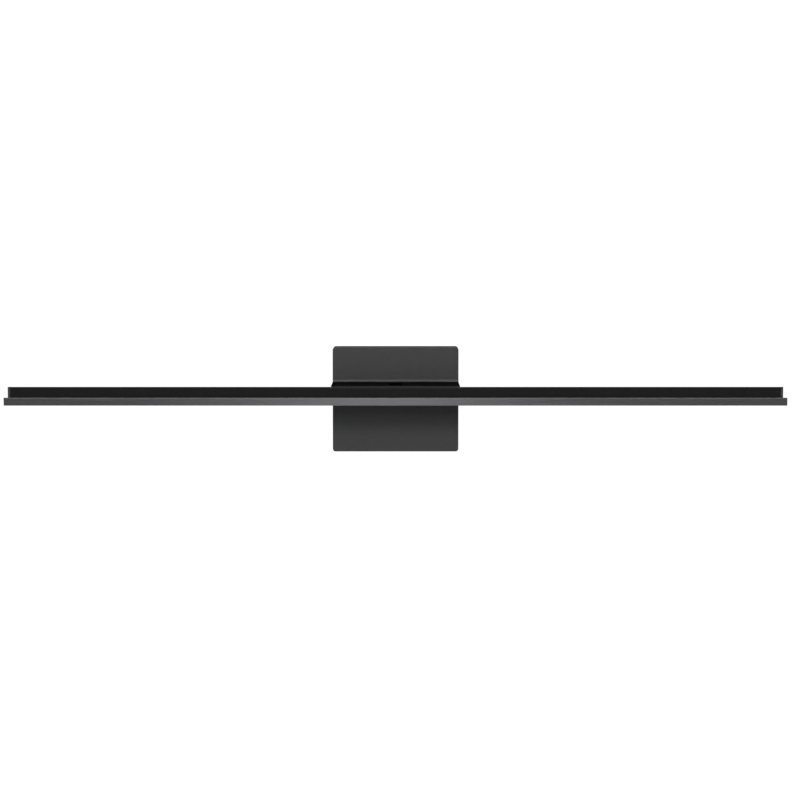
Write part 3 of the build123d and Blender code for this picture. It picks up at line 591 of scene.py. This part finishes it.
def arm():
    """The arm: satin where it flares out of the canopy, painted shade on its top as a dead matte darker copy
    of the coat, and painted shade on its front lip as a copy a little brighter than the top's."""
    piece = node_copy("arm", "arm_body")
    piece.data.materials.clear()
    for coat in ARM_COATS:
        piece.data.materials.append(MATERIALS[coat])
    root_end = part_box("canopy_cover")[0].y - FLARE_LENGTH
    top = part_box("arm_body")[1].z - FLARE_RADIUS
    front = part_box("arm_body")[0].y
    # Painted shade: the lip and the top's upward faces past the flare take darker copies of the coat.
    for face in piece.data.polygons:
        high = face.center.z > top - TOP_SLACK
        lip = face.center.y < front + LIP_DEPTH
        if lip:
            face.material_index = ARM_COATS.index("lip_painted_shade_coat")
        elif high and face.normal.z > FACES_UP and face.center.y < root_end:
            face.material_index = ARM_COATS.index("top_painted_shade_coat")
    settle(piece, "black_powder_coat", "arm_body")


arm()
exterior_screws()
led_packages()


# ---- stage, light and camera, in metres, watts and degrees ----
WHITE = (1, 1, 1, 1)
BACKDROP = 1.05             # a little over full white
ROOM = 0.02                 # faint light from all sides
AIM = Vector((0, 0, 0))

STUDIO_RADIUS = 2.6         # from the light to its softboxes
STRIP = (4.0, 0.92)
HALF_STRIP = (4.0, 0.46)
LOW_STRIP = (3.0, 0.8)
LENS_PATCH = (0.2, 0.2)
SIDE_PANEL = (1.4, 1.4)
FRONT_LIGHTS = ((-30, 12), (-15, 6), (15, 18), (25, 54), (35, 26))     # elevation and power

CAMERA_PLACE = (4.63 * MM, -2250.1 * MM, 180.47 * MM)
CAMERA_DIP = 4.65           # how far it looks down
CAMERA_LENS = 95.71
CAMERA_SENSOR = 36.0


def stage_floor():
    """A plain pale floor well below the light."""
    half = 6.0
    height = -2.0
    mesh = bpy.data.meshes.new("floor")
    corners = [(-half, -half, height), (half, -half, height), (half, half, height), (-half, half, height)]
    mesh.from_pydata(corners, [], [(0, 1, 2, 3)])
    floor = bpy.data.objects.new("floor", mesh)
    bpy.context.scene.collection.objects.link(floor)
    mat = bpy.data.materials.new("pale_floor")
    mat.use_nodes = True
    mat.node_tree.nodes.clear()
    glow = add(mat.node_tree, "ShaderNodeEmission", {"Color": WHITE, "Strength": BACKDROP})
    add(mat.node_tree, "ShaderNodeOutputMaterial", None, {"Surface": glow.outputs["Emission"]})
    mesh.materials.append(mat)
    floor.visible_diffuse = False
    floor.visible_glossy = False
    floor.visible_shadow = False


def studio_world():
    """A white room: it shows plain white, and lights the object only faintly."""
    world = bpy.data.worlds.new("studio")
    bpy.context.scene.world = world
    world.use_nodes = True
    tree = world.node_tree
    tree.nodes.clear()
    room = add(tree, "ShaderNodeBackground", {"Color": WHITE, "Strength": ROOM})
    white = add(tree, "ShaderNodeBackground", {"Color": WHITE, "Strength": BACKDROP})
    ray = add(tree, "ShaderNodeLightPath")
    mix = add(tree, "ShaderNodeMixShader", None,
              {"Fac": ray.outputs["Is Camera Ray"], 1: room.outputs[0], 2: white.outputs[0]})
    add(tree, "ShaderNodeOutputWorld", None, {"Surface": mix.outputs["Shader"]})


def softbox(name, place, size, power):
    """A rectangular soft light at a place, aimed at the middle of the canopy's back."""
    lamp = bpy.data.lights.new(name, "AREA")
    lamp.shape = "RECTANGLE"
    lamp.size, lamp.size_y = size
    lamp.energy = power
    holder = bpy.data.objects.new(name, lamp)
    holder.location = place
    holder.rotation_euler = (AIM - Vector(place)).to_track_quat("-Z", "Y").to_euler()
    holder.visible_camera = False
    bpy.context.scene.collection.objects.link(holder)


def at_elevation(angle):
    """A place on the studio's circle: 0 is in front of the light, 90 above it and 180 behind it."""
    turn = math.radians(angle)
    return (0, -STUDIO_RADIUS * math.cos(turn), STUDIO_RADIUS * math.sin(turn))


def lights():
    """Soft light from the front and above, weaker light from behind, below and the sides, and a small
    light under the camera."""
    for angle, power in FRONT_LIGHTS:
        softbox("front_softbox", at_elevation(angle), HALF_STRIP, power)
    softbox("overhead_softbox", (0, 0, STUDIO_RADIUS), STRIP, power=78)
    softbox("lens_side_light", (-0.035, -2.25, -0.18), LENS_PATCH, power=1.26)
    softbox("rear_upper_softbox", at_elevation(140), STRIP, power=6)
    softbox("rear_low_fill", at_elevation(190), LOW_STRIP, power=35)
    softbox("floor_bounce", at_elevation(-110), STRIP, power=55)
    for side in (-1, 1):
        softbox("side_softbox", (side * 2.4, 0.5, -0.5), SIDE_PANEL, power=26)


def camera():
    """A long lens about two metres in front, a little above the bar and looking slightly down."""
    view = bpy.data.cameras.new("camera")
    view.sensor_width = CAMERA_SENSOR
    view.lens = CAMERA_LENS
    holder = bpy.data.objects.new("camera", view)
    holder.location = CAMERA_PLACE
    holder.rotation_euler = (math.radians(90 - CAMERA_DIP), 0, 0)
    bpy.context.scene.collection.objects.link(holder)
    bpy.context.scene.camera = holder


stage_floor()
studio_world()
lights()
camera()
bpy.context.scene.view_settings.view_transform = "Standard"
